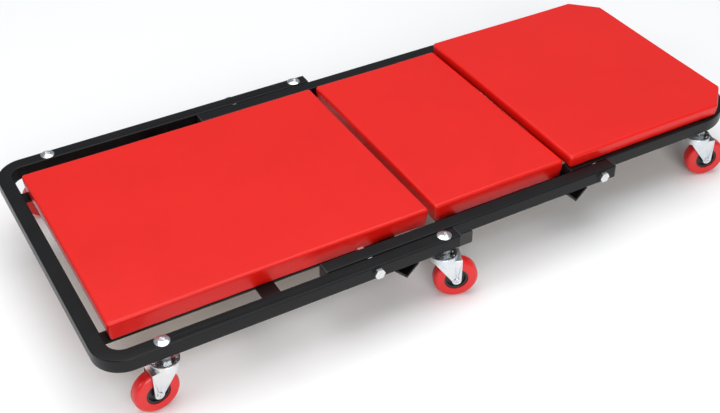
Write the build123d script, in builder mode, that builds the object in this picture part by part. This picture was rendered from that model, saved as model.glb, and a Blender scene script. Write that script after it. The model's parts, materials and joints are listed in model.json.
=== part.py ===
"""Folding mechanics creeper: a three-section frame on six swivel casters, with three pads.

The sections fold in a Z: the link folds up over the base, the head folds back the other way,
and the head pad then is a seat. Millimetres; X runs from the tail to the head, Z is up, and
the origin is on the floor under the middle of the creeper.
"""
from build123d import *
from math import cos, radians, sin, sqrt
import os

os.makedirs("parts", exist_ok=True)

# Driving dimensions: plan
overall_length = 1016.0
base_width = 449.0
base_length = 487.6
link_pivot_from_tail = 363.4
pivot_spacing = 371.9
link_tail = 62.1
link_nose = 21.9
head_tail = 40.0

# Driving dimensions: tube, flat bar and angle iron
tube = 20.0
tube_wall = 1.5
tube_corner = 2.0
tube_bend = 30.0
head_bend = 65.0
fold_gap = 1.0
bar = 20.0
bar_thickness = 3.0
angle_leg = 25.0
angle_thickness = 3.0
angle_trim = 1.5
crossbar_width = 25.0
crossbar_drop = 20.0
stop_gap = 0.2
cross_tube_from_pivot = 146.6
crossbar_from_tail = 232.0
head_crossbars_from_pivot = (70.0, 180.0)
strap_inset = 13.0
plug_flange = 2.0
plug_depth = 12.0
plug_clearance = 0.1

# Driving dimensions: pads
pad_tail_gap = 8.5
pad_nose_setback = 15.6
pad_side_gap = 13.5
pad_pad_gap = 9.4
pad_fold_gap = 3.6
head_pad_gap = 4.0
head_pad_setback = 14.8
head_pad_side = 3.7
head_pad_clip = 38.0
pad_height = 27.8
head_pad_height = 19.5
pad_corner = 5.0
pad_edge = 4.0
vinyl = 1.2
hem = 1.0
hem_width = 10.0
board = 6.0
board_setback = 4.0

# Driving dimensions: casters
wheel_diameter = 60.0
wheel_width = 19.0
tyre_bore_radius = 16.0
tyre_shoulder = 6.0
hub_boss_radius = 7.5
hub_web_half = 4.0
hub_rim = 3.0
hub_rim_half = 8.0
hub_play = 0.3
axle_radius = 3.0
axle_head_radius = 4.2
axle_head = 1.5
running_clearance = 0.05
caster_trail = 17.2
fork_sheet = 2.0
fork_eye_radius = 6.3
fork_back = 11.0
fork_gap_half = 11.0
crown_gap = 2.2
crown_thickness = 2.5
cup_radius = 18.5
cup_wall = 2.0
cup_height = 7.0
race_lift = 0.3
race_radius = 12.4
race_height = 4.5
collar_height = 9.7
collar_across_flats = 17.0
neck_radius = 6.0
rivet_radius = 8.5
rivet_height = 2.0
ball_radius = 1.8
ball_count = 10
tail_caster_from_tail = 78.5
mid_caster_from_nose = 20.6
head_caster_from_nose = 76.3
tail_heading = 185.7
mid_heading = -20.7
head_heading = -16.0

# Driving dimensions: fasteners
bolt_radius = 4.0
bolt_engagement = 7.0
button_radius = 9.7
button_rim = 0.9
button_height = 3.4
button_socket_flats = 7.0
button_socket_depth = 2.2
cap_screw_radius = 5.6
cap_screw_height = 8.0
access_radius = 6.4
hex_across_flats = 13.0
hex_head = 5.3
hex_nut = 6.5
bolt_end = 2.0
washer_radius = 9.0
washer_thickness = 0.8
screw_radius = 2.5
screw_head_radius = 4.5
screw_head = 2.4
screw_in_board = 5.0

# Heights
axle_z = wheel_diameter / 2
crown_bottom = wheel_diameter + crown_gap
crown_top = crown_bottom + crown_thickness
race_bottom = crown_top + race_lift
race_top = race_bottom + race_height
tube_bottom = race_top + collar_height
pivot_z = tube_bottom + tube / 2
tube_top = tube_bottom + tube
strap_top = tube_bottom + bar_thickness

# Places along the creeper
tail_end = -overall_length / 2
head_end = overall_length / 2
base_nose = tail_end + base_length
link_pivot = tail_end + link_pivot_from_tail
head_pivot = link_pivot + pivot_spacing
link_start = link_pivot - link_tail
link_end = head_pivot + link_nose
head_start = head_pivot - head_tail

# Places across the creeper: outer faces of the nested frames
base_outer = base_width / 2
link_outer = base_outer - tube - fold_gap
head_outer = link_outer - tube - fold_gap
base_y = base_outer - tube / 2
link_y = link_outer - tube / 2
head_y = head_outer - tube / 2

# Stop angles hang under the tubes as a V; a folded tube lies flat on the V's outer face
angle_reach = angle_leg / sqrt(2)
angle_depth = angle_reach + angle_thickness / sqrt(2) - angle_trim
angle_apex_z = tube_bottom - angle_depth
angle_flat_out = 2 * angle_reach - angle_depth
angle_flat_in = angle_depth - angle_thickness * sqrt(2)
stop_offset = (tube / 2 + stop_gap) * sqrt(2) + pivot_z - angle_apex_z
base_stop = link_pivot + stop_offset
link_stop = head_pivot - stop_offset

# Pads
back_pad_low = tail_end + tube + pad_tail_gap
back_pad_high = base_nose - pad_nose_setback
middle_pad_low = back_pad_high + pad_pad_gap
middle_pad_high = head_start - pad_fold_gap
head_pad_low = middle_pad_high + head_pad_gap
head_pad_high = head_end - head_pad_setback
pad_half = link_outer - tube - pad_side_gap
head_pad_half = head_outer - head_pad_side
strap_y = pad_half - strap_inset

# Casters: place, side (-1 front, +1 rear) and heading of each wheel in its rest place
mirror_sides = (("front", -1), ("rear", 1))
caster_rows = (
    ("tail", tail_end + tail_caster_from_tail, base_y, tail_heading),
    ("mid", base_nose - mid_caster_from_nose, base_y, mid_heading),
    ("head", head_end - head_caster_from_nose, head_y, head_heading),
)
base_caster_spots = [(x, side * y) for row, x, y, _ in caster_rows[:2] for _, side in mirror_sides]
head_caster_spots = [(x, side * y) for row, x, y, _ in caster_rows[2:] for _, side in mirror_sides]


def save(piece, name):
    """Label a finished piece and write it as a STEP file."""
    piece.part.label = name
    export_step(piece.part, f"parts/{name}.step")


def square_tube_section(plane):
    """Return the hollow square tube section, sketched on a plane."""
    with BuildSketch(plane) as section:
        RectangleRounded(tube, tube, tube_corner)
        bore = tube - 2 * tube_wall
        RectangleRounded(bore, bore, tube_corner / 4, mode=Mode.SUBTRACT)
    return section.sketch


def u_tube(open_x, closed_x, centre_y, bend):
    """Sweep the tube round a U whose two open ends are at open_x."""
    with BuildLine() as route:
        FilletPolyline(
            (open_x, -centre_y, pivot_z),
            (closed_x, -centre_y, pivot_z),
            (closed_x, centre_y, pivot_z),
            (open_x, centre_y, pivot_z),
            radius=bend,
        )
    start = Plane(origin=route.line @ 0, x_dir=(0, 0, 1), z_dir=route.line % 0)
    sweep(square_tube_section(start), path=route.line)


def straight_tube(start, direction, length):
    """Extrude the tube from a start point along a direction."""
    section = square_tube_section(Plane(origin=start, x_dir=(0, 0, 1), z_dir=direction))
    extrude(section, amount=length)


def round_bars(plane, spots, radius, amount, mode=Mode.ADD):
    """Extrude circles at places on a plane, as pins or, with Mode.SUBTRACT, as holes."""
    with BuildSketch(plane) as circles:
        with Locations(*spots):
            Circle(radius)
    extrude(circles.sketch, amount=amount, mode=mode)


def upright_holes(spots, low, high, radius):
    """Cut upright round holes between two heights."""
    round_bars(Plane.XY.offset(low), spots, radius, high - low, Mode.SUBTRACT)


def cross_holes(x, radius, half_length):
    """Cut one round hole along Y through both sides of a frame at the pivot height."""
    side = Plane.XZ.offset(-half_length)
    round_bars(side, [(x, pivot_z)], radius, 2 * half_length, Mode.SUBTRACT)


def hexagon(plane, across_flats, amount, mode=Mode.ADD):
    """Extrude a hexagon centred on a plane."""
    with BuildSketch(plane) as outline:
        RegularPolygon(across_flats / 2, 6, major_radius=False)
    extrude(outline.sketch, amount=amount, mode=mode)


def extruded_profile(points, half_length):
    """Extrude a closed profile of (x, z) points along Y, both ways from the middle."""
    with BuildSketch(Plane.XZ.offset(-half_length)) as profile:
        with BuildLine():
            Polyline(*points, close=True)
        make_face()
    extrude(profile.sketch, amount=2 * half_length)


def stop_angle(x, half_length):
    """Extrude the V-shaped stop angle, its trimmed tips level with the tubes' undersides."""
    half = [
        (angle_reach, angle_reach),
        (angle_flat_out, angle_depth),
        (angle_flat_in, angle_depth),
        (0, angle_thickness * sqrt(2)),
    ]
    outline = [(0, 0)] + half + [(-across, up) for across, up in reversed(half[:-1])]
    extruded_profile([(x + across, angle_apex_z + up) for across, up in outline], half_length)


def cross_angle(x, half_length, top):
    """Extrude a cross angle: flat leg on top, centred on x, upright leg hanging at its head side."""
    left, right = x - crossbar_width / 2, x + crossbar_width / 2
    profile = [
        (left, top),
        (right, top),
        (right, top - crossbar_drop),
        (right - bar_thickness, top - crossbar_drop),
        (right - bar_thickness, top - bar_thickness),
        (left, top - bar_thickness),
    ]
    extruded_profile(profile, half_length)


def end_plug(face, outward):
    """Add a tube's plastic end plug: a flange on the cut end and a body inside the bore."""
    end = Plane(origin=face, x_dir=(0, 0, 1), z_dir=outward)
    with BuildSketch(end) as flange:
        RectangleRounded(tube, tube, tube_corner)
    extrude(flange.sketch, amount=plug_flange)
    with BuildSketch(end) as body:
        side = tube - 2 * tube_wall - 2 * plug_clearance
        RectangleRounded(side, side, tube_corner / 2)
    extrude(body.sketch, amount=-plug_depth)


def straps(runs, holes):
    """Extrude the flat straps on both sides and cut their screw holes."""
    with BuildSketch(Plane.XY.offset(tube_bottom)) as plan:
        for low, high in runs:
            with Locations(((low + high) / 2, -strap_y), ((low + high) / 2, strap_y)):
                Rectangle(high - low, bar)
    extrude(plan.sketch, amount=bar_thickness)
    upright_holes(holes, tube_bottom, strap_top, screw_radius)


def pivot_bolts(x, outer, inner):
    """Add the hex bolt and nut of each side's fold pivot, from outer to inner tube face."""
    for side in (-1, 1):
        head_face = Plane(origin=(x, side * outer, pivot_z), x_dir=(1, 0, 0), z_dir=(0, side, 0))
        nut_face = Plane(origin=(x, side * inner, pivot_z), x_dir=(1, 0, 0), z_dir=(0, -side, 0))
        hexagon(head_face, hex_across_flats, hex_head)
        round_bars(head_face, [(0, 0)], bolt_radius, -(outer - inner + hex_nut + bolt_end))
        hexagon(nut_face.offset(running_clearance), hex_across_flats, hex_nut)


def pivot_washers(x, inner):
    """Add the spacer washer between the two nested tubes on each side."""
    for side in (-1, 1):
        face = Plane(origin=(x, side * inner, pivot_z), x_dir=(1, 0, 0), z_dir=(0, -side, 0))
        with BuildSketch(face) as ring:
            Circle(washer_radius)
            Circle(bolt_radius, mode=Mode.SUBTRACT)
        extrude(ring.sketch, amount=washer_thickness)


def caster_studs(spots):
    """Add the hex collar, race flange, neck and rivet head that carry each fork."""
    rivet_bottom = crown_bottom - race_lift - rivet_height
    for x, y in spots:
        hexagon(Plane((x, y, race_top)), collar_across_flats, collar_height)
    round_bars(Plane.XY.offset(race_bottom), spots, race_radius, race_height)
    round_bars(Plane.XY.offset(rivet_bottom), spots, neck_radius, race_bottom - rivet_bottom)
    round_bars(Plane.XY.offset(rivet_bottom), spots, rivet_radius, rivet_height)
    upright_holes(spots, tube_bottom - bolt_engagement, tube_bottom, bolt_radius)


def swivel_balls(spots):
    """Add the ring of bearing balls in each swivel race."""
    ring = race_radius + ball_radius
    for x, y in spots:
        with Locations((x, y, crown_top + race_lift + ball_radius)):
            with PolarLocations(ring, ball_count):
                Sphere(ball_radius)


def pad_outline(low, high, half, clip, inset):
    """Sketch a pad's plan, with both head-side corners clipped when clip is set."""
    with Locations(((low + high) / 2, 0)):
        Rectangle(high - low, 2 * half)
    sketch = BuildSketch._get_context()
    if clip:
        chamfer(sketch.vertices().group_by(Axis.X)[-1], length=clip)
    fillet(sketch.vertices(), radius=pad_corner)
    if inset:
        offset(amount=-inset, mode=Mode.REPLACE)


def make_pad(name, plan, bottom, height, screws):
    """Make and save one pad: its board, foam, vinyl cover and screws."""
    board_bottom = bottom + hem
    foam_top = bottom + height - vinyl

    with BuildPart() as pad_board:
        with BuildSketch(Plane.XY.offset(board_bottom)):
            pad_outline(*plan, vinyl + board_setback)
        extrude(amount=board)
        upright_holes(screws, board_bottom, board_bottom + screw_in_board, screw_radius)
    save(pad_board, f"{name}_board")

    with BuildPart() as pad_foam:
        with BuildSketch(Plane.XY.offset(board_bottom)):
            pad_outline(*plan, vinyl)
        extrude(amount=foam_top - board_bottom)
        fillet(pad_foam.faces().sort_by(Axis.Z)[-1].edges(), radius=pad_edge - vinyl)
        with BuildSketch(Plane.XY.offset(board_bottom)):
            pad_outline(*plan, vinyl + board_setback)
        extrude(amount=board, mode=Mode.SUBTRACT)
    save(pad_foam, f"{name}_foam")

    with BuildPart() as pad_cover:
        with BuildSketch(Plane.XY.offset(bottom)):
            pad_outline(*plan, 0)
        extrude(amount=height)
        fillet(pad_cover.faces().sort_by(Axis.Z)[-1].edges(), radius=pad_edge)
        add(pad_foam.part, mode=Mode.SUBTRACT)
        with BuildSketch(Plane.XY.offset(board_bottom)):
            pad_outline(*plan, vinyl)
        extrude(amount=board, mode=Mode.SUBTRACT)
        with BuildSketch(Plane.XY.offset(bottom)):
            pad_outline(*plan, hem_width)
        extrude(amount=hem, mode=Mode.SUBTRACT)
    save(pad_cover, f"{name}_cover")

    with BuildPart() as pad_screws:
        under = bottom - bar_thickness
        round_bars(Plane.XY.offset(under), screws, screw_radius, bar_thickness + hem + screw_in_board)
        round_bars(Plane.XY.offset(under), screws, screw_head_radius, -screw_head)
    save(pad_screws, f"{name}_screws")


# Base frame and what is fixed to it
with BuildPart() as base_frame:
    u_tube(base_nose - plug_flange, tail_end + tube / 2, base_y, tube_bend)
    upright_holes(base_caster_spots, tube_bottom, tube_top, bolt_radius)
    cross_holes(link_pivot, bolt_radius, base_outer)
save(base_frame, "base_frame")

crossbar = tail_end + crossbar_from_tail
with BuildPart() as base_crossbar:
    cross_angle(crossbar, base_outer - tube, strap_top)
save(base_crossbar, "base_crossbar")

with BuildPart() as base_stop_angle:
    stop_angle(base_stop, base_outer)
save(base_stop_angle, "base_stop_angle")

strap_sides = (-strap_y, strap_y)
back_runs = (
    (tail_end + tube, crossbar - crossbar_width / 2),
    (crossbar + crossbar_width / 2, base_stop - angle_flat_in),
)
back_screws = [((low + high) / 2, y) for low, high in back_runs for y in strap_sides]
with BuildPart() as base_pad_straps:
    straps(back_runs, back_screws)
save(base_pad_straps, "base_pad_straps")

with BuildPart() as base_end_plugs:
    for side in (-1, 1):
        end_plug((base_nose - plug_flange, side * base_y, pivot_z), (1, 0, 0))
save(base_end_plugs, "base_end_plugs")

with BuildPart() as base_pivot_bolts:
    pivot_bolts(link_pivot, base_outer, link_outer - tube)
save(base_pivot_bolts, "base_pivot_bolts")

with BuildPart() as base_pivot_washers:
    pivot_washers(link_pivot, base_outer - tube)
save(base_pivot_washers, "base_pivot_washers")

with BuildPart() as base_caster_bolts:
    for x, y in base_caster_spots:
        side = Plane(origin=(x, y, tube_top), x_dir=(1, 0, 0), z_dir=(0, -1, 0))
        with BuildSketch(side):
            with BuildLine():
                rim = Line((button_radius, 0), (button_radius, button_rim))
                ThreePointArc(
                    rim @ 1,
                    (button_radius * 0.6, button_height - (button_height - button_rim) * 0.36),
                    (0, button_height),
                )
                Polyline((0, button_height), (0, 0), (button_radius, 0))
            make_face()
        revolve(axis=Axis((x, y, 0), (0, 0, 1)))
        crest = Plane((x, y, tube_top + button_height))
        hexagon(crest, button_socket_flats, -button_socket_depth, Mode.SUBTRACT)
    bolt_foot = Plane.XY.offset(tube_bottom - bolt_engagement)
    round_bars(bolt_foot, base_caster_spots, bolt_radius, tube + bolt_engagement)
save(base_caster_bolts, "base_caster_bolts")

with BuildPart() as base_caster_studs:
    caster_studs(base_caster_spots)
save(base_caster_studs, "base_caster_studs")

with BuildPart() as base_swivel_balls:
    swivel_balls(base_caster_spots)
save(base_swivel_balls, "base_swivel_balls")

make_pad(
    "back_pad", (back_pad_low, back_pad_high, pad_half, 0), strap_top, pad_height, back_screws
)

# Link: two tubes between the fold pivots and what is fixed to them
for side_name, side in mirror_sides:
    with BuildPart() as link_tube:
        start = (link_start + plug_flange, side * link_y, pivot_z)
        straight_tube(start, (1, 0, 0), link_end - link_start - 2 * plug_flange)
        cross_holes(link_pivot, bolt_radius + running_clearance, base_outer)
        cross_holes(head_pivot, bolt_radius, base_outer)
    save(link_tube, f"link_tube_{side_name}")

cross_tube_x = link_pivot + cross_tube_from_pivot
cross_tube_end = link_outer - plug_flange
with BuildPart() as link_cross_tube:
    start = (cross_tube_x, -cross_tube_end, tube_bottom - tube / 2)
    straight_tube(start, (0, 1, 0), 2 * cross_tube_end)
save(link_cross_tube, "link_cross_tube")

with BuildPart() as link_stop_angle:
    stop_angle(link_stop, link_outer)
save(link_stop_angle, "link_stop_angle")

middle_run = (cross_tube_x - tube / 2, link_stop - angle_flat_in)
middle_screws = [
    (middle_run[0] + (middle_run[1] - middle_run[0]) * share, y)
    for share in (0.25, 0.75)
    for y in strap_sides
]
with BuildPart() as link_pad_straps:
    straps((middle_run,), middle_screws)
save(link_pad_straps, "link_pad_straps")

with BuildPart() as link_end_plugs:
    for side in (-1, 1):
        end_plug((link_start + plug_flange, side * link_y, pivot_z), (-1, 0, 0))
        end_plug((link_end - plug_flange, side * link_y, pivot_z), (1, 0, 0))
        end_plug((cross_tube_x, side * cross_tube_end, tube_bottom - tube / 2), (0, side, 0))
save(link_end_plugs, "link_end_plugs")

with BuildPart() as link_pivot_bolts:
    pivot_bolts(head_pivot, link_outer, head_outer - tube)
save(link_pivot_bolts, "link_pivot_bolts")

with BuildPart() as link_pivot_washers:
    pivot_washers(head_pivot, link_outer - tube)
save(link_pivot_washers, "link_pivot_washers")

make_pad(
    "middle_pad",
    (middle_pad_low, middle_pad_high, pad_half, 0),
    strap_top,
    pad_height,
    middle_screws,
)

# Head frame and what is fixed to it
with BuildPart() as head_frame:
    u_tube(head_start + plug_flange, head_end - tube / 2, head_y, head_bend)
    cross_holes(head_pivot, bolt_radius + running_clearance, head_outer)
    upright_holes(head_caster_spots, tube_bottom, pivot_z, bolt_radius)
    upright_holes(head_caster_spots, pivot_z, tube_top, access_radius)
save(head_frame, "head_frame")

head_bars = [head_pivot + offset_x for offset_x in head_crossbars_from_pivot]
head_screws = [(x - bar_thickness, y) for x in head_bars for y in (-head_y * 2 / 3, head_y * 2 / 3)]
with BuildPart() as head_crossbars:
    for x in head_bars:
        cross_angle(x, head_outer - tube, tube_top)
    upright_holes(head_screws, tube_top - bar_thickness, tube_top, screw_radius)
save(head_crossbars, "head_crossbars")

with BuildPart() as head_end_plugs:
    for side in (-1, 1):
        end_plug((head_start + plug_flange, side * head_y, pivot_z), (-1, 0, 0))
save(head_end_plugs, "head_end_plugs")

with BuildPart() as head_caster_bolts:
    wall_top = tube_bottom + tube_wall
    bolt_foot = Plane.XY.offset(tube_bottom - bolt_engagement)
    round_bars(bolt_foot, head_caster_spots, bolt_radius, tube_wall + bolt_engagement)
    round_bars(Plane.XY.offset(wall_top), head_caster_spots, cap_screw_radius, cap_screw_height)
    for x, y in head_caster_spots:
        crest = Plane((x, y, wall_top + cap_screw_height))
        hexagon(crest, cap_screw_radius, -cap_screw_height / 2, Mode.SUBTRACT)
save(head_caster_bolts, "head_caster_bolts")

with BuildPart() as head_caster_studs:
    caster_studs(head_caster_spots)
save(head_caster_studs, "head_caster_studs")

with BuildPart() as head_swivel_balls:
    swivel_balls(head_caster_spots)
save(head_swivel_balls, "head_swivel_balls")

make_pad(
    "head_pad",
    (head_pad_low, head_pad_high, head_pad_half, head_pad_clip),
    tube_top,
    head_pad_height,
    head_screws,
)


def make_caster(name, x, y, heading):
    """Make and save one caster's fork, axle, tyre and hub, its wheel trailing along heading."""
    ahead = (cos(radians(heading)), sin(radians(heading)), 0)
    axle_dir = (ahead[1], -ahead[0], 0)
    upright = Plane(origin=(x, y, 0), x_dir=ahead, z_dir=(0, 0, 1))
    side = Plane(origin=(x, y, 0), x_dir=ahead, z_dir=axle_dir)
    axle_at = (x + caster_trail * ahead[0], y + caster_trail * ahead[1], axle_z)
    wheel = Plane(origin=axle_at, x_dir=axle_dir, z_dir=(0, 0, 1))
    wheel_axis = Axis(axle_at, axle_dir)
    leg_out = fork_gap_half + fork_sheet
    axle_spot = [(caster_trail, axle_z)]
    front = caster_trail + fork_eye_radius

    with BuildPart() as fork:
        with BuildSketch(upright.offset(crown_bottom)):
            with Locations(((front - fork_back) / 2, 0)):
                Rectangle(front + fork_back, 2 * leg_out)
            Circle(cup_radius)
        extrude(amount=crown_thickness)
        with BuildSketch(upright.offset(crown_top)):
            Circle(cup_radius)
            Circle(cup_radius - cup_wall, mode=Mode.SUBTRACT)
        extrude(amount=cup_height)
        rims = fork.edges().filter_by(GeomType.CIRCLE).group_by(Axis.Z)[-1]
        fillet(rims, radius=cup_wall / 2.2)
        for face in (side.offset(fork_gap_half), side.offset(-leg_out)):
            with BuildSketch(face):
                with BuildLine():
                    Polyline(
                        (front, axle_z),
                        (front, crown_top),
                        (-fork_back, crown_top),
                        (-fork_back, crown_bottom - crown_thickness),
                        (caster_trail - fork_eye_radius, axle_z),
                        close=True,
                    )
                make_face()
                with Locations(*axle_spot):
                    Circle(fork_eye_radius)
            extrude(amount=fork_sheet)
        round_bars(side.offset(-leg_out), axle_spot, axle_radius, 2 * leg_out, Mode.SUBTRACT)
        neck_hole = neck_radius + running_clearance
        round_bars(upright.offset(crown_bottom), [(0, 0)], neck_hole, crown_thickness, Mode.SUBTRACT)
    save(fork, f"{name}_fork")

    with BuildPart() as axle:
        round_bars(side.offset(-leg_out), axle_spot, axle_radius, 2 * leg_out)
        for face, way in ((side.offset(leg_out), 1), (side.offset(-leg_out), -1)):
            round_bars(face, axle_spot, axle_head_radius, way * axle_head)
            dimple = face.offset(way * axle_head)
            round_bars(dimple, axle_spot, axle_radius / 2, -way * axle_head / 2, Mode.SUBTRACT)
    save(axle, f"{name}_axle")

    with BuildPart() as tyre:
        with BuildSketch(wheel):
            with Locations((0, (wheel_diameter / 2 + tyre_bore_radius) / 2)):
                tread = Rectangle(wheel_width, wheel_diameter / 2 - tyre_bore_radius)
            fillet(tread.vertices().group_by(Axis.Y)[-1], radius=tyre_shoulder)
        revolve(axis=wheel_axis)
    save(tyre, f"{name}_tyre")

    bore = axle_radius + running_clearance
    boss_half = fork_gap_half - hub_play
    with BuildPart() as hub:
        with BuildSketch(wheel):
            with BuildLine():
                Polyline(
                    (-boss_half, bore),
                    (-boss_half, hub_boss_radius),
                    (-hub_web_half, hub_boss_radius),
                    (-hub_web_half, tyre_bore_radius - hub_rim),
                    (-hub_rim_half, tyre_bore_radius - hub_rim),
                    (-hub_rim_half, tyre_bore_radius),
                    (hub_rim_half, tyre_bore_radius),
                    (hub_rim_half, tyre_bore_radius - hub_rim),
                    (hub_web_half, tyre_bore_radius - hub_rim),
                    (hub_web_half, hub_boss_radius),
                    (boss_half, hub_boss_radius),
                    (boss_half, bore),
                    close=True,
                )
            make_face()
        revolve(axis=wheel_axis)
    save(hub, f"{name}_hub")


for row, x, y, heading in caster_rows:
    for side_name, side in mirror_sides:
        make_caster(f"{row}_{side_name}", x, side * y, -side * heading)
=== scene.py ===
"""Looks of the folding creeper: upholstered pads, finishes, welds, floor, lights and camera.

Everything is in metres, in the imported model's frame: X from tail to head, Y to the rear, Z up.
"""

from __future__ import annotations

import json
import logging
import math
from dataclasses import dataclass, field
from enum import Enum
from typing import Iterable, Sequence

import bmesh
import bpy
import numpy as np
from mathutils import Matrix, Vector, noise
from mathutils.bvhtree import BVHTree


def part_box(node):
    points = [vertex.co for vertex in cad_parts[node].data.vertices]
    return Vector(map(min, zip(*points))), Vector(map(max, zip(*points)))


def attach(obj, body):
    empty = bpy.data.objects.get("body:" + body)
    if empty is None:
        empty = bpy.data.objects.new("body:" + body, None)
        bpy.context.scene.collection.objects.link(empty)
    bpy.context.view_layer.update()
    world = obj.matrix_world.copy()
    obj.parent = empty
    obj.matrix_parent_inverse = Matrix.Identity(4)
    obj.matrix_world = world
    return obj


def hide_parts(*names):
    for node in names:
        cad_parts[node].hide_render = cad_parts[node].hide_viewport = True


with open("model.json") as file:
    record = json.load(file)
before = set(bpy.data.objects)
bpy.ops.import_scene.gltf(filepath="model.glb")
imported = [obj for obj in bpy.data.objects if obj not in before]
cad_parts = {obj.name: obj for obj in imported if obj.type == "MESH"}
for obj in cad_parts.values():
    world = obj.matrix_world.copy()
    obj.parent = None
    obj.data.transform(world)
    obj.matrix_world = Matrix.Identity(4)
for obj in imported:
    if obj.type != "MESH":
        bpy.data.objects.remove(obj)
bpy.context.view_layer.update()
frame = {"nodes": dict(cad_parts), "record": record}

LOG = logging.getLogger("creeper")
MM = 0.001

Colour = tuple[float, float, float]
Point = tuple[float, float]


# ---------------------------------------------------------------- shader maths


class Value:
    """A shader socket that takes part in Python expressions."""

    def __init__(self, shader: "Shader", socket: bpy.types.NodeSocket) -> None:
        """Wrap a socket of a shader's node tree."""
        self.shader = shader
        self.socket = socket

    def _math(self, operation: str, first: "Value | float", second: "Value | float") -> "Value":
        """Add one Math node.

        Args:
            operation: the Math node's operation.
            first: its first value.
            second: its second value.

        Returns:
            The node's result.
        """
        return self.shader.node("ShaderNodeMath", {"operation": operation}, {0: first, 1: second})

    def __add__(self, other: "Value | float") -> "Value":
        """Return self + other."""
        return self._math("ADD", self, other)

    def __radd__(self, other: float) -> "Value":
        """Return other + self."""
        return self._math("ADD", other, self)

    def __mul__(self, other: "Value | float") -> "Value":
        """Return self * other."""
        return self._math("MULTIPLY", self, other)

    def __rmul__(self, other: float) -> "Value":
        """Return other * self."""
        return self._math("MULTIPLY", other, self)


class Shader:
    """One material under construction: its node tree and its Principled shader."""

    def __init__(self, name: str) -> None:
        """Start a material with a bare Principled shader.

        Args:
            name: the material's name.
        """
        self.material = bpy.data.materials.new(name)
        self.material.use_nodes = True
        self.tree = self.material.node_tree
        self.surface = self.tree.nodes["Principled BSDF"]

    def node(
        self,
        kind: str,
        settings: dict[str, object] | None = None,
        inputs: dict[int | str, object] | None = None,
        output: int | str = 0,
    ) -> Value:
        """Add any node.

        Args:
            kind: the node's type.
            settings: properties set before anything else; "stops" fills a colour ramp.
            inputs: values or links of its sockets, by index or name.
            output: the socket to return.

        Returns:
            The chosen output.
        """
        made = self.tree.nodes.new(kind)
        for key, value in (settings or {}).items():
            if key == "stops":
                self._fill_ramp(made.color_ramp, value)
            else:
                setattr(made, key, value)
        for key, value in (inputs or {}).items():
            self._feed(made.inputs[key], value)
        return Value(self, made.outputs[output])

    @staticmethod
    def _fill_ramp(ramp: bpy.types.ColorRamp, stops: Sequence[tuple[float, Colour]]) -> None:
        """Give a colour ramp its stops."""
        while len(ramp.elements) < len(stops):
            ramp.elements.new(1.0)
        for element, (place, colour) in zip(ramp.elements, stops):
            element.position = place
            element.color = (*colour, 1.0)

    def _feed(self, socket: bpy.types.NodeSocket, value: object) -> None:
        """Link a Value to a socket, or set a plain value on it."""
        if isinstance(value, Value):
            self.tree.links.new(value.socket, socket)
        elif isinstance(value, tuple) and len(value) == 3 and socket.type == "RGBA":
            socket.default_value = (*value, 1.0)
        else:
            socket.default_value = value

    def set(self, **sockets: object) -> None:
        """Feed the Principled shader's sockets, named with _ for each space."""
        names = {name.lower().replace(" ", "_"): name for name in self.surface.inputs.keys()}
        for key, value in sockets.items():
            self._feed(self.surface.inputs[names[key]], value)

    def place(self, stretch: tuple[float, float, float] = (1.0, 1.0, 1.0)) -> Value:
        """Return the piece's own coordinates, stretched along its axes."""
        here = self.node("ShaderNodeTexCoord", output="Object")
        if stretch == (1.0, 1.0, 1.0):
            return here
        return self.node("ShaderNodeMapping", None, {"Vector": here, "Scale": stretch})

    def noise(self, place: Value, size: float, detail: float = 3.0, rough: float = 0.5) -> Value:
        """Return noise from 0 to 1 whose blotches are about size metres across."""
        inputs = {"Vector": place, "Scale": 1.0 / size, "Detail": detail, "Roughness": rough}
        return self.node("ShaderNodeTexNoise", None, inputs)

    def blend(self, share: Value | float, first: Colour | Value, second: Colour | Value) -> Value:
        """Mix two colours."""
        settings = {"data_type": "RGBA"}
        return self.node("ShaderNodeMix", settings, {0: share, 6: first, 7: second}, output=2)

    def ramp(self, share: Value, stops: Sequence[tuple[float, Colour]]) -> Value:
        """Return the colour that a ramp gives for a value."""
        return self.node("ShaderNodeValToRGB", {"stops": stops}, {0: share})

    def bump(self, height: Value, depth: float) -> Value:
        """Return the normal of a height that spans depth metres."""
        inputs = {"Height": height, "Distance": depth, "Strength": 1.0}
        return self.node("ShaderNodeBump", None, inputs)


# ---------------------------------------------------------------- finishes


@dataclass(frozen=True)
class PowderCoat:
    """Black semi-gloss powder coat with its fine orange peel."""

    dark: Colour = (0.0035, 0.0035, 0.004)
    light: Colour = (0.007, 0.007, 0.0078)
    peel: float = 1.6 * MM
    peel_depth: float = 0.05 * MM

    def make(self, name: str) -> bpy.types.Material:
        """Return the finish as a material."""
        s = Shader(name)
        place = s.place()
        cloud = s.noise(place, 45 * MM)
        peel = s.noise(place, self.peel, 2.0)
        s.set(
            base_color=s.blend(cloud, self.dark, self.light),
            roughness=0.3 + 0.14 * cloud,
            normal=s.bump(peel, self.peel_depth),
            specular_ior_level=0.2,
            coat_weight=0.03,
            coat_roughness=0.22,
        )
        return s.material


@dataclass(frozen=True)
class Zinc:
    """Bright zinc plate with the faint colour drift of its passivation."""

    cool: Colour = (0.66, 0.71, 0.77)
    grey: Colour = (0.74, 0.76, 0.77)
    warm: Colour = (0.78, 0.75, 0.72)
    smooth: float = 0.2
    drift: float = 14 * MM
    scratch_depth: float = 0.02 * MM

    def make(self, name: str) -> bpy.types.Material:
        """Return the finish as a material."""
        s = Shader(name)
        place = s.place()
        drift = s.noise(place, self.drift, 2.0)
        grain = s.noise(s.place((1.0, 1.0, 0.12)), 0.9 * MM, 3.0)
        s.set(
            base_color=s.ramp(drift, [(0.3, self.cool), (0.52, self.grey), (0.72, self.warm)]),
            metallic=1.0,
            roughness=self.smooth + 0.16 * drift + 0.05 * grain,
            normal=s.bump(grain, self.scratch_depth),
        )
        return s.material


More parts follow.
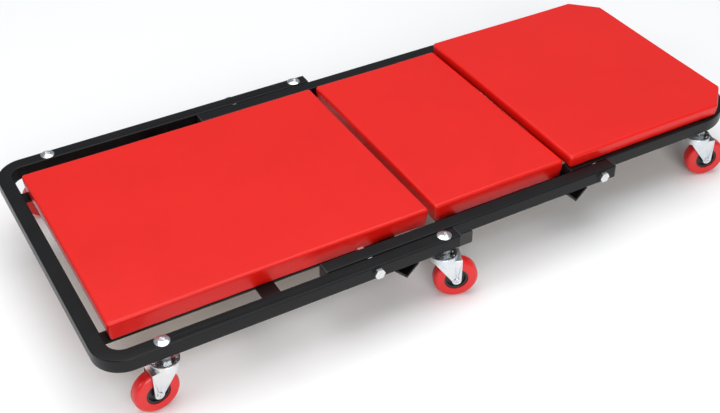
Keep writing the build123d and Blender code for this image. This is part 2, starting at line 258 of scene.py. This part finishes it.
@dataclass(frozen=True)
class Vinyl:
    """Semi-gloss red upholstery vinyl with a fine pressed grain."""

    deep: Colour = (0.66, 0.006, 0.003)
    bright: Colour = (0.78, 0.010, 0.005)
    grain: float = 1.1 * MM
    grain_depth: float = 0.06 * MM

    def make(self, name: str) -> bpy.types.Material:
        """Return the finish as a material."""
        s = Shader(name)
        place = s.place()
        cloud = s.noise(place, 110 * MM, 2.0)
        pebbles = s.node(
            "ShaderNodeTexVoronoi",
            {"feature": "SMOOTH_F1"},
            {"Vector": place, "Scale": 1.0 / self.grain, "Smoothness": 0.6},
        )
        creases = s.noise(place, 6 * MM, 4.0, 0.6)
        s.set(
            base_color=s.blend(cloud * 0.75 + creases * 0.25, self.deep, self.bright),
            roughness=0.30 + 0.1 * creases,
            normal=s.bump(pebbles * 0.7 + creases * 0.6, self.grain_depth),
            specular_ior_level=0.35,
            coat_weight=0.05,
            coat_roughness=0.2,
        )
        return s.material


@dataclass(frozen=True)
class Polyurethane:
    """Semi-gloss red cast wheel tread."""

    deep: Colour = (0.62, 0.007, 0.007)
    bright: Colour = (0.68, 0.009, 0.008)

    def make(self, name: str) -> bpy.types.Material:
        """Return the finish as a material."""
        s = Shader(name)
        place = s.place()
        cloud = s.noise(place, 18 * MM, 2.0)
        scuff = s.noise(place, 2.2 * MM, 4.0, 0.65)
        s.set(
            base_color=s.blend(cloud, self.deep, self.bright),
            roughness=0.3 + 0.06 * scuff,
            normal=s.bump(scuff, 0.006 * MM),
            coat_weight=0.1,
            coat_roughness=0.12,
        )
        return s.material


@dataclass(frozen=True)
class Moulded:
    """Moulded plastic with a fine spark-eroded texture."""

    colour: Colour = (0.012, 0.012, 0.013)
    lift: Colour = (0.022, 0.022, 0.023)
    smooth: float = 0.36

    def make(self, name: str) -> bpy.types.Material:
        """Return the finish as a material."""
        s = Shader(name)
        place = s.place()
        spark = s.noise(place, 0.5 * MM, 2.0)
        cloud = s.noise(place, 12 * MM, 2.0)
        s.set(
            base_color=s.blend(cloud, self.colour, self.lift),
            roughness=self.smooth + 0.14 * cloud,
            normal=s.bump(spark, 0.04 * MM),
        )
        return s.material


@dataclass(frozen=True)
class Plywood:
    """Plain birch plywood, its grain along X."""

    pale: Colour = (0.56, 0.38, 0.20)
    dark: Colour = (0.34, 0.20, 0.09)

    def make(self, name: str) -> bpy.types.Material:
        """Return the finish as a material."""
        s = Shader(name)
        streaks = s.noise(s.place((0.05, 1.0, 1.0)), 2.5 * MM, 5.0, 0.6)
        plies = s.noise(s.place((0.02, 0.02, 1.0)), 1.2 * MM, 1.0)
        figure = streaks * 0.7 + plies * 0.3
        s.set(
            base_color=s.ramp(figure, [(0.3, self.dark), (0.6, self.pale)]),
            roughness=0.55 + 0.2 * streaks,
            normal=s.bump(streaks, 0.08 * MM),
        )
        return s.material


@dataclass(frozen=True)
class Foam:
    """Open-cell polyurethane foam."""

    colour: Colour = (0.78, 0.70, 0.42)
    shade: Colour = (0.60, 0.52, 0.28)

    def make(self, name: str) -> bpy.types.Material:
        """Return the finish as a material."""
        s = Shader(name)
        cells = s.noise(s.place(), 1.4 * MM, 2.0)
        s.set(
            base_color=s.blend(cells, self.shade, self.colour),
            roughness=0.8 + 0.15 * cells,
            normal=s.bump(cells, 0.5 * MM),
        )
        return s.material


@dataclass(frozen=True)
class PaleFloor:
    """Seamless studio paper."""

    colour: Colour = (0.93, 0.93, 0.93)
    shade: Colour = (0.9, 0.9, 0.9)

    def make(self, name: str) -> bpy.types.Material:
        """Return the finish as a material."""
        s = Shader(name)
        cloud = s.noise(s.place(), 0.8, 1.0)
        s.set(base_color=s.blend(cloud, self.shade, self.colour), roughness=0.62 + 0.05 * cloud)
        return s.material


class Finish(Enum):
    """The record's material slots and the finish that each one gets."""

    FRAME = ("frame_paint", PowderCoat())
    VINYL = ("pad_vinyl", Vinyl())
    FOAM = ("pad_foam", Foam())
    PLYWOOD = ("pad_plywood", Plywood())
    CASTER = ("caster_zinc", Zinc())
    BOLT = (
        "bolt_zinc",
        Zinc(cool=(0.60, 0.62, 0.65), warm=(0.70, 0.69, 0.66), smooth=0.16, drift=5 * MM),
    )
    TREAD = ("wheel_tread", Polyurethane())
    HUB = ("wheel_hub", Moulded())
    PLUG = ("end_plug", Moulded(colour=(0.010, 0.010, 0.011), lift=(0.016, 0.016, 0.017), smooth=0.3))
    NYLON = ("washer_nylon", Moulded(colour=(0.62, 0.61, 0.56), lift=(0.7, 0.69, 0.64)))

    @property
    def slot(self) -> str:
        """The record's slot name."""
        return self.value[0]

    def material(self) -> bpy.types.Material:
        """Return this finish's material, made on first use."""
        known = bpy.data.materials.get(f"creeper_{self.slot}")
        return known or self.value[1].make(f"creeper_{self.slot}")


# ---------------------------------------------------------------- mesh helpers


def new_piece(name: str, mesh: bpy.types.Mesh, finish: Finish, body: str) -> bpy.types.Object:
    """Put a mesh in the scene as a piece of the creeper.

    Args:
        name: the piece's name.
        mesh: its mesh, in the frame.
        finish: its finish, which also names its slot.
        body: the CAD body that it rides on.

    Returns:
        The new object.
    """
    piece = bpy.data.objects.new(name, mesh)
    bpy.context.scene.collection.objects.link(piece)
    piece.data.materials.clear()
    piece.data.materials.append(finish.material())
    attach(piece, body)
    return piece


def mesh_of(name: str, build: bmesh.types.BMesh) -> bpy.types.Mesh:
    """Turn a bmesh into a smooth-shaded mesh and free it."""
    bmesh.ops.recalc_face_normals(build, faces=build.faces)
    mesh = bpy.data.meshes.new(name)
    build.to_mesh(mesh)
    build.free()
    mesh.shade_smooth()
    return mesh


def evaluated(piece: bpy.types.Object) -> bpy.types.Mesh:
    """Return a new mesh with the piece's modifiers applied."""
    graph = bpy.context.evaluated_depsgraph_get()
    graph.update()
    return bpy.data.meshes.new_from_object(piece.evaluated_get(graph), depsgraph=graph)


def apply_modifiers(piece: bpy.types.Object) -> None:
    """Replace a piece's mesh with its modified mesh and drop the modifiers."""
    mesh = evaluated(piece)
    piece.modifiers.clear()
    piece.data = mesh


def points_of(mesh: bpy.types.Mesh) -> np.ndarray:
    """Return a mesh's vertex places as an array of rows."""
    flat = np.empty(len(mesh.vertices) * 3)
    mesh.vertices.foreach_get("co", flat)
    return flat.reshape(-1, 3)


def move_points(mesh: bpy.types.Mesh, places: np.ndarray) -> None:
    """Write vertex places back to a mesh."""
    mesh.vertices.foreach_set("co", places.ravel())
    mesh.update()


def rounded(corners: Sequence[Point], radius: float, steps: int = 6, spans: int = 1) -> list[Point]:
    """Round a convex outline's corners with arcs and divide its sides evenly.

    Args:
        corners: the outline's corners, counter-clockwise.
        radius: the arcs' radius.
        steps: segments in each arc.
        spans: segments in each side.

    Returns:
        The rounded outline.
    """
    outline: list[Point] = []
    count = len(corners)
    for i, corner in enumerate(corners):
        here = Vector(corner)
        back = (Vector(corners[i - 1]) - here).normalized()
        on = (Vector(corners[(i + 1) % count]) - here).normalized()
        half = back.angle(on) / 2
        centre = here + (back + on).normalized() * radius / math.sin(half)
        start = here + back * radius / math.tan(half) - centre
        sweep = math.pi - 2 * half
        turns = [Matrix.Rotation(sweep * step / steps, 2) for step in range(steps + 1)]
        arc = [centre + turn @ start for turn in turns]
        if outline:
            last = Vector(outline[-1])
            outline += [tuple(last.lerp(arc[0], n / spans)) for n in range(1, spans)]
        outline += [tuple(spot) for spot in arc]
    last, first = Vector(outline[-1]), Vector(outline[0])
    outline += [tuple(last.lerp(first, n / spans)) for n in range(1, spans)]
    return outline


def prism(rings: Sequence[tuple[Sequence[Point], float]]) -> bmesh.types.BMesh:
    """Skin equal-length outlines at rising heights into a closed form."""
    build = bmesh.new()
    loops = [[build.verts.new((*spot, z)) for spot in outline] for outline, z in rings]
    for low, high in zip(loops, loops[1:]):
        for i in range(len(low)):
            j = (i + 1) % len(low)
            build.faces.new((low[i], low[j], high[j], high[i]))
    build.faces.new(list(reversed(loops[0])))
    build.faces.new(loops[-1])
    return build


def tube_along(
    build: bmesh.types.BMesh, path: Sequence[Vector], radii: Sequence[float], sides: int = 8
) -> None:
    """Add a closed tube of varying radius along a path.

    Args:
        build: the bmesh that it joins.
        path: its centre points.
        radii: its radius at each point.
        sides: how many sides it has.
    """
    rings: list[list[bmesh.types.BMVert]] = []
    across: Vector | None = None
    for i, spot in enumerate(path):
        ahead = (path[min(i + 1, len(path) - 1)] - path[max(i - 1, 0)]).normalized()
        carried = ahead.orthogonal() if across is None else across - ahead * across.dot(ahead)
        across = carried.normalized()
        other = ahead.cross(across)
        ring = []
        for side in range(sides):
            turn = 2 * math.pi * side / sides
            spoke = across * math.cos(turn) + other * math.sin(turn)
            ring.append(build.verts.new(spot + spoke * radii[i]))
        rings.append(ring)
    for low, high in zip(rings, rings[1:]):
        for i in range(sides):
            j = (i + 1) % sides
            build.faces.new((low[i], low[j], high[j], high[i]))
    build.faces.new(list(reversed(rings[0])))
    build.faces.new(rings[-1])


# ---------------------------------------------------------------- sub-assemblies


@dataclass(frozen=True)
class Stretch:
    """The cloth simulation of a pad's vinyl."""

    frames: int = 12
    quality: int = 4
    mass: float = 0.3
    tension: float = 22.0
    compression: float = 18.0
    shear: float = 10.0
    bending: float = 3.0
    pressure: float = 4.0

    def run(self, pad: bpy.types.Object, held: list[int]) -> np.ndarray:
        """Simulate a pad's vinyl under pressure, without gravity.

        Args:
            pad: the pad, left as it was.
            held: the vertices that stay where they are.

        Returns:
            Where the simulation took the vertices.
        """
        pad.vertex_groups.new(name="board").add(held, 1.0, "REPLACE")
        cloth = pad.modifiers.new("swell", "CLOTH")
        cloth.settings.quality = self.quality
        cloth.settings.mass = self.mass
        cloth.settings.tension_stiffness = self.tension
        cloth.settings.compression_stiffness = self.compression
        cloth.settings.shear_stiffness = self.shear
        cloth.settings.bending_stiffness = self.bending
        cloth.settings.vertex_group_mass = "board"
        cloth.settings.use_pressure = True
        cloth.settings.uniform_pressure_force = self.pressure
        cloth.settings.effector_weights.gravity = 0.0
        cloth.collision_settings.use_collision = False
        scene = bpy.context.scene
        for step in range(1, self.frames + 1):
            scene.frame_set(step)
        swollen = points_of(evaluated(pad))
        scene.frame_set(1)
        pad.modifiers.clear()
        pad.vertex_groups.clear()
        return swollen


@dataclass
class Pad:
    """One upholstered pad: foam on a plywood board under stretched vinyl."""

    name: str
    body: str
    height: float
    clip: float = 0.0
    corner: float = 4.5 * MM
    edge: float = 3.6 * MM
    undercut: float = 3.0 * MM
    start_drop: float = 0.9 * MM
    cap: float = 1.5 * MM
    sideways: float = 0.15
    bow: float = 0.7 * MM
    board_grip: float = 7 * MM
    hem: float = 1.0 * MM
    hem_width: float = 10 * MM
    spans: int = 14
    under_insets: tuple[float, ...] = (30 * MM, 14 * MM, 6 * MM)
    wall_shares: tuple[float, ...] = (0.0, 0.04, 0.12, 0.28, 0.46, 0.64, 0.8, 0.92)
    edge_steps: int = 5
    top_shares: tuple[float, ...] = (
        *(0.985, 0.955, 0.915, 0.86, 0.79, 0.71, 0.62),
        *(0.52, 0.42, 0.31, 0.2, 0.1, 0.04),
    )
    tuck: float = 1.2 * MM
    stretch: Stretch = Stretch()
    evening: int = 160
    even_share: float = 0.6
    slack_rate: float = 9.0
    ripple_rate: float = 30.0
    pucker_rate: float = 70.0
    pucker_depth: float = 0.5 * MM
    pleat_radius: float = 0.55 * MM
    pleat_lean: float = 0.22
    staple_gap: float = 32 * MM
    staple_half: float = 5 * MM
    staple_wire: float = 0.35 * MM
    seed: float = 0.0
    low: Vector = field(init=False)
    high: Vector = field(init=False)

    def __post_init__(self) -> None:
        """Take the pad's box from its CAD cover."""
        self.low, self.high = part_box(f"{self.name}_cover")

    def corners(self, inset: float) -> list[Point]:
        """Return the plan's corners, counter-clockwise, moved inwards by inset."""
        x0, x1 = self.low.x + inset, self.high.x - inset
        y0, y1 = self.low.y + inset, self.high.y - inset
        if not self.clip:
            return [(x0, y0), (x1, y0), (x1, y1), (x0, y1)]
        cut = max(self.clip - inset * (2 - math.sqrt(2)), 1 * MM)
        return [(x0, y0), (x1 - cut, y0), (x1, y0 + cut), (x1, y1 - cut), (x1 - cut, y1), (x0, y1)]

    def outline(self, inset: float, spans: int = 1) -> list[Point]:
        """Return the rounded plan, moved inwards by inset, its sides in so many spans."""
        return rounded(self.corners(inset), max(self.corner - inset * 0.5, 0.6 * MM), spans=spans)

    def block(self) -> bpy.types.Mesh:
        """Return the modelled form, a little low, that the simulation starts from."""
        base, top = self.low.z, self.high.z - self.start_drop
        wall = top - self.edge - base
        rings = []
        for inset in self.under_insets:
            rings.append((self.outline(self.undercut + inset, self.spans), base))
        for share in self.wall_shares:
            lean = self.undercut * (1 - share) ** 1.5
            tuck = self.tuck if share == 0.0 else 0.0
            rings.append((self.outline(lean + tuck, self.spans), base + wall * share))
        for step in range(self.edge_steps + 1):
            turn = math.pi / 2 * step / self.edge_steps
            inset = self.edge * (1 - math.cos(turn))
            height = top - self.edge * (1 - math.sin(turn))
            rings.append((self.outline(inset, self.spans), height))
        rim = self.outline(self.edge, self.spans)
        middle = ((self.low + self.high) / 2).xy
        for share in self.top_shares:
            ring = [tuple(middle + (Vector(spot) - middle) * share) for spot in rim]
            rings.append((ring, top))
        return mesh_of(f"{self.name}_block", prism(rings))

    def inflate(self, pad: bpy.types.Object) -> None:
        """Swell the vinyl by cloth simulation, held along the board, and cap the result.

        The raw swell is many times the cap, so the cap sets the crown's height.
        """
        start = points_of(pad.data)
        held = [int(i) for i in np.nonzero(start[:, 2] < self.low.z + self.board_grip)[0]]
        swollen = self.stretch.run(pad, held)
        shift = self.evened(pad.data, swollen - start)
        shift[:, :2] *= self.sideways
        reach = np.linalg.norm(shift, axis=1, keepdims=True) + 1e-9
        move_points(pad.data, start + shift / reach * self.cap * np.tanh(reach / self.cap))

    def evened(self, mesh: bpy.types.Mesh, shift: np.ndarray) -> np.ndarray:
        """Even a shift out along the mesh's edges, so that no crease of the simulation stays.

        Args:
            mesh: the mesh that the shift belongs to.
            shift: each vertex's shift.

        Returns:
            The evened shift, with the vertices that were still left still.
        """
        ends = np.empty(len(mesh.edges) * 2, dtype=np.int32)
        mesh.edges.foreach_get("vertices", ends)
        one, other = ends.reshape(-1, 2).T
        count = np.bincount(ends, minlength=len(shift))[:, None]
        still = np.linalg.norm(shift, axis=1) < 1e-7
        for _ in range(self.evening):
            total = np.zeros_like(shift)
            np.add.at(total, one, shift[other])
            np.add.at(total, other, shift[one])
            shift = (1 - self.even_share) * shift + self.even_share * total / count
            shift[still] = 0.0
        return shift

    def rough(self, x: float, y: float, rate: float, layer: float) -> float:
        """Return this pad's noise at a place, finer at a higher rate."""
        return noise.noise(Vector((x * rate, y * rate, self.seed + layer)))

    @staticmethod
    def near_side(across: np.ndarray) -> np.ndarray:
        """Return 1 at a pad's side, falling to 0 a tenth of the way in."""
        return np.clip((np.abs(across) - 0.9) * 10, 0, 1)

    def settle(self, pad: bpy.types.Object) -> None:
        """Smooth the form, pull its sides in, and press slack and puckers into it."""
        smooth = pad.modifiers.new("smooth", "SUBSURF")
        smooth.levels = 1
        smooth.render_levels = 1
        apply_modifiers(pad)
        spots = points_of(pad.data)
        middle = (np.array(self.low) + np.array(self.high)) / 2
        half = (np.array(self.high) - np.array(self.low)) / 2
        across = (spots - middle) / half
        height = np.clip((spots[:, 2] - self.low.z) / self.height, 0, 1.2)
        side_x, side_y = self.near_side(across[:, 0]), self.near_side(across[:, 1])
        spots[:, 0] -= np.sign(across[:, 0]) * self.bow * side_x * (1 - across[:, 1] ** 2)
        spots[:, 1] -= np.sign(across[:, 1]) * self.bow * side_y * (1 - across[:, 0] ** 2)
        for i, (x, y) in enumerate(spots[:, :2].copy()):
            slack = self.rough(x, y, self.slack_rate, 0)
            ripple = self.rough(x, y, self.ripple_rate, 5)
            spots[i, 2] += (slack * 0.5 + ripple * 0.15) * MM * height[i] ** 2
            pucker = self.rough(x, y, self.pucker_rate, 9) * self.pucker_depth
            fade = max(0.0, 1 - height[i] * 1.25)
            spots[i, 0] += np.sign(across[i, 0]) * pucker * side_x[i] * fade
            spots[i, 1] += np.sign(across[i, 1]) * pucker * side_y[i] * fade
        under = spots[:, 2] < self.low.z + 0.5 * MM
        spots[under, 2] = self.low.z
        move_points(pad.data, spots)

    def open_underside(self, pad: bpy.types.Object) -> None:
        """Recess the underside inside the hem, so that the plywood board shows there."""
        well = self.outline(self.hem_width)
        rings = [(well, self.low.z - 2 * MM), (well, self.low.z + self.hem + 0.1 * MM)]
        cutter = bpy.data.objects.new(f"{self.name}_well", mesh_of("well", prism(rings)))
        bpy.context.scene.collection.objects.link(cutter)
        cut = pad.modifiers.new("well", "BOOLEAN")
        cut.operation = "DIFFERENCE"
        cut.solver = "EXACT"
        cut.object = cutter
        apply_modifiers(pad)
        bpy.data.objects.remove(cutter)
        pad.data.shade_smooth()
        pad.data.set_sharp_from_angle(angle=math.radians(50))

    def pleats(self, pad: bpy.types.Object) -> None:
        """Add the folded-vinyl ridges that run up each corner."""
        tree = BVHTree.FromObject(pad, bpy.context.evaluated_depsgraph_get())
        build = bmesh.new()
        corners = self.corners(0.0)
        for i, corner in enumerate(corners):
            here = Vector((*corner, 0))
            back = (Vector((*corners[i - 1], 0)) - here).normalized()
            on = (Vector((*corners[(i + 1) % len(corners)], 0)) - here).normalized()
            inward = (back + on).normalized()
            for lean in (back * self.pleat_lean + inward, on * self.pleat_lean + inward):
                aim = lean.normalized()
                path = []
                for step in range(9):
                    z = self.low.z + (0.04 + 0.8 * step / 8) * self.height
                    hit = tree.ray_cast(Vector((*corner, z)) - aim * 0.03, aim)[0]
                    if hit is not None:
                        path.append(hit + aim * self.pleat_radius * 0.55)
                radii = [self.pleat_radius * (1 - 0.75 * n / len(path)) for n in range(len(path))]
                tube_along(build, path, radii)
        name = f"{self.name}_pleats"
        new_piece(name, mesh_of(name, build), Finish.VINYL, self.body)

    def staples(self) -> None:
        """Add the staples that hold the hem on the tail and head sides."""
        build = bmesh.new()
        inset = self.hem_width * 0.6
        reach = self.high.y - max(self.clip, self.corner) - 30 * MM
        count = int(2 * reach / self.staple_gap)
        dip = Vector((0, 0, 0.25 * MM))
        for row in (self.low.x + inset, self.high.x - inset):
            for i in range(count + 1):
                y = -reach + 2 * reach * i / count
                lean = 1.2 * MM * noise.noise(Vector((y * 50, row, self.seed)))
                first, last = (
                    Vector((row + lean * way, y + self.staple_half * way, self.low.z))
                    for way in (-1, 1)
                )
                path = [first + 2 * dip, first - dip, last - dip, last + 2 * dip]
                tube_along(build, path, [self.staple_wire] * 4, 6)
        name = f"{self.name}_staples"
        new_piece(name, mesh_of(name, build), Finish.BOLT, self.body)

    def make(self) -> None:
        pad = new_piece(f"{self.name}_cushion", self.block(), Finish.VINYL, self.body)
        self.inflate(pad)
        self.settle(pad)
        self.open_underside(pad)
        pad.data.materials.clear()
        pad.data.materials.append(Finish.VINYL.material())
        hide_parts(f"{self.name}_cover", f"{self.name}_foam")
        self.pleats(pad)
        self.staples()
        LOG.info("%s: cushion, pleats and staples", self.name)


@dataclass
class Hardware:
    """The CAD pieces that show as they are: each gets its finish and softened edges."""

    edge: float = 0.35 * MM
    fine_edge: float = 0.2 * MM
    sharp: float = math.radians(32)
    fine: tuple[str, ...] = ("_screws", "_balls", "_washers", "_axle")
    plain: tuple[str, ...] = ("_board", "_foam", "_cover")

    def dress(self, node: bpy.types.Object, finish: Finish) -> None:
        """Give one CAD node its material, smooth shading and edge rounding.

        Args:
            node: the CAD node's object.
            finish: the finish of its slot.
        """
        for index in range(max(1, len(node.data.materials))):
            if index < len(node.data.materials):
                node.data.materials[index] = finish.material()
            else:
                node.data.materials.append(finish.material())
        if node.name.endswith(self.plain):
            return
        if "custom_normal" in node.data.attributes:
            node.data.attributes.remove(node.data.attributes["custom_normal"])
        node.data.shade_smooth()
        weld = node.modifiers.new("weld", "WELD")
        weld.merge_threshold = 0.005 * MM
        bevel = node.modifiers.new("edges", "BEVEL")
        bevel.width = self.fine_edge if node.name.endswith(self.fine) else self.edge
        bevel.segments = 2
        bevel.limit_method = "ANGLE"
        bevel.angle_limit = self.sharp
        bevel.harden_normals = True

    def make(self) -> None:
        """Dress every CAD node by its slot in the record."""
        finishes = {finish.slot: finish for finish in Finish}
        for part in frame["record"]["subparts"]:
            self.dress(frame["nodes"][part["node"]], finishes[part["material_slot"]])
        LOG.info("hardware: %d CAD nodes dressed", len(frame["nodes"]))


@dataclass
class Welds:
    """Weld beads where cross pieces meet the tubes."""

    radius: float = 1.7 * MM
    ripple: float = 1.9 * MM
    rail_reach: tuple[float, float] = (17 * MM, 3 * MM)
    rail_inset: float = 0.6 * MM
    rail_sink: float = 0.2 * MM

    def bead(self, build: bmesh.types.BMesh, start: Vector, end: Vector) -> None:
        """Add one rippled bead.

        Args:
            build: the bmesh that it joins.
            start: its first end.
            end: its other end.
        """
        length = (end - start).length
        count = max(6, int(length / (self.ripple / 4)))
        path, radii = [], []
        for i in range(count + 1):
            share = i / count
            taper = min(1.0, 0.45 + 6 * min(share, 1 - share))
            wave = 1 + 0.13 * math.cos(2 * math.pi * share * length / self.ripple)
            path.append(start.lerp(end, share))
            radii.append(self.radius * taper * wave)
        tube_along(build, path, radii, 10)

    def cross(self, build: bmesh.types.BMesh, node: str, face: float, height: float) -> None:
        """Add beads along a cross piece's ends, on both sides.

        Args:
            build: the bmesh that they join.
            node: the cross piece's CAD node.
            face: the tube face's distance from the middle plane.
            height: the beads' height.
        """
        low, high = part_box(node)
        for side in (-1, 1):
            start = Vector((low.x + self.radius, side * face, height))
            end = Vector((high.x - self.radius, side * face, height))
            self.bead(build, start, end)

    def rails(self, build: bmesh.types.BMesh, node: str, tube: str) -> None:
        """Add beads along a stop angle's or cross tube's edges under the tubes.

        Args:
            build: the bmesh that they join.
            node: the cross piece's CAD node.
            tube: a CAD node whose box has the tubes' outer faces and underside.
        """
        low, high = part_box(node)
        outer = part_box(tube)[1].y
        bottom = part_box(tube)[0].z
        for side in (-1, 1):
            for x in (low.x + self.rail_inset, high.x - self.rail_inset):
                start, end = (
                    Vector((x, side * (outer - reach), bottom - self.rail_sink))
                    for reach in self.rail_reach
                )
                self.bead(build, start, end)

    def make(self) -> None:
        """Build each section's welds as one piece."""
        low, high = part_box("base_frame")
        base = bmesh.new()
        self.cross(base, "base_crossbar", high.y - (high.z - low.z), low.z)
        self.rails(base, "base_stop_angle", "base_frame")
        new_piece("base_welds", mesh_of("base_welds", base), Finish.FRAME, "base")
        link = bmesh.new()
        self.rails(link, "link_stop_angle", "link_tube_rear")
        self.rails(link, "link_cross_tube", "link_tube_rear")
        new_piece("link_welds", mesh_of("link_welds", link), Finish.FRAME, "link")
        LOG.info("welds: base and link")


@dataclass(frozen=True)
class Lamp:
    """One square soft light: its name, place, side in metres and power in watts."""

    name: str
    place: tuple[float, float, float]
    size: float
    watts: float

    def hang(self, aim: Vector) -> None:
        """Add the light to the scene, pointing at aim."""
        light = bpy.data.lights.new(self.name, "AREA")
        light.size = self.size
        light.energy = self.watts
        lamp = bpy.data.objects.new(self.name, light)
        lamp.location = self.place
        lamp.rotation_euler = (aim - Vector(self.place)).to_track_quat("-Z", "Y").to_euler()
        bpy.context.scene.collection.objects.link(lamp)


@dataclass
class Studio:
    """The pale floor, the soft lights and the camera."""

    floor_reach: float = 14.0
    camera_at: tuple[float, float, float] = (-0.7105, -1.1873, 1.0659)
    yaw: float = 0.511
    pitch: float = -0.663
    roll: float = -0.005
    lens: float = 59.1
    sensor: float = 36.0
    sky: Colour = (0.9, 0.95, 1.0)
    sky_strength: float = 0.32
    aim: tuple[float, float, float] = (0.0, 0.0, 0.08)
    lamps: tuple[Lamp, ...] = (
        Lamp("top_light", (0.1, 0.25, 3.0), 3.2, 78),
        Lamp("front_light", (-0.6, -2.6, 1.3), 1.4, 42),
        Lamp("tail_light", (-2.7, 0.2, 1.6), 1.2, 16),
    )

    def floor(self) -> None:
        """Lay the floor."""
        build = bmesh.new()
        bmesh.ops.create_grid(build, x_segments=8, y_segments=8, size=self.floor_reach)
        floor = bpy.data.objects.new("studio_floor", mesh_of("studio_floor", build))
        bpy.context.scene.collection.objects.link(floor)
        floor.data.materials.append(PaleFloor().make("studio_paper"))

    def lights(self) -> None:
        """Set the sky and the soft lights."""
        world = bpy.data.worlds.new("studio_sky")
        world.use_nodes = True
        background = world.node_tree.nodes["Background"]
        background.inputs["Color"].default_value = (*self.sky, 1.0)
        background.inputs["Strength"].default_value = self.sky_strength
        bpy.context.scene.world = world
        for lamp in self.lamps:
            lamp.hang(Vector(self.aim))

    def camera(self) -> None:
        """Stand the camera where it looks down along the creeper from the tail's front."""
        level = math.cos(self.pitch)
        across, along = math.sin(self.yaw) * level, math.cos(self.yaw) * level
        ahead = Vector((across, along, math.sin(self.pitch)))
        data = bpy.data.cameras.new("camera")
        data.lens = self.lens
        data.sensor_width = self.sensor
        data.clip_end = 60.0
        camera = bpy.data.objects.new("camera", data)
        turn = ahead.to_track_quat("-Z", "Y").to_matrix() @ Matrix.Rotation(self.roll, 3, "Z")
        camera.matrix_world = Matrix.Translation(self.camera_at) @ turn.to_4x4()
        bpy.context.scene.collection.objects.link(camera)
        bpy.context.scene.camera = camera

    def make(self) -> None:
        """Set the whole stage."""
        self.floor()
        self.lights()
        self.camera()
        bpy.context.scene.view_settings.view_transform = "Standard"
        LOG.info("studio: floor, lights and camera")


def pads() -> Iterable[Pad]:
    """Yield the three pads, from tail to head."""
    yield Pad("back_pad", "base", height=27.8 * MM, seed=1.0)
    yield Pad("middle_pad", "link", height=27.8 * MM, seed=2.0)
    yield Pad("head_pad", "head", height=19.5 * MM, clip=38 * MM, board_grip=5 * MM, seed=3.0)


def main() -> None:
    """Build the creeper's looks in order."""
    logging.basicConfig(level=logging.INFO, format="%(name)s: %(message)s")
    Studio().make()
    Hardware().make()
    Welds().make()
    for pad in pads():
        pad.make()


if __name__ == "__main__":
    main()
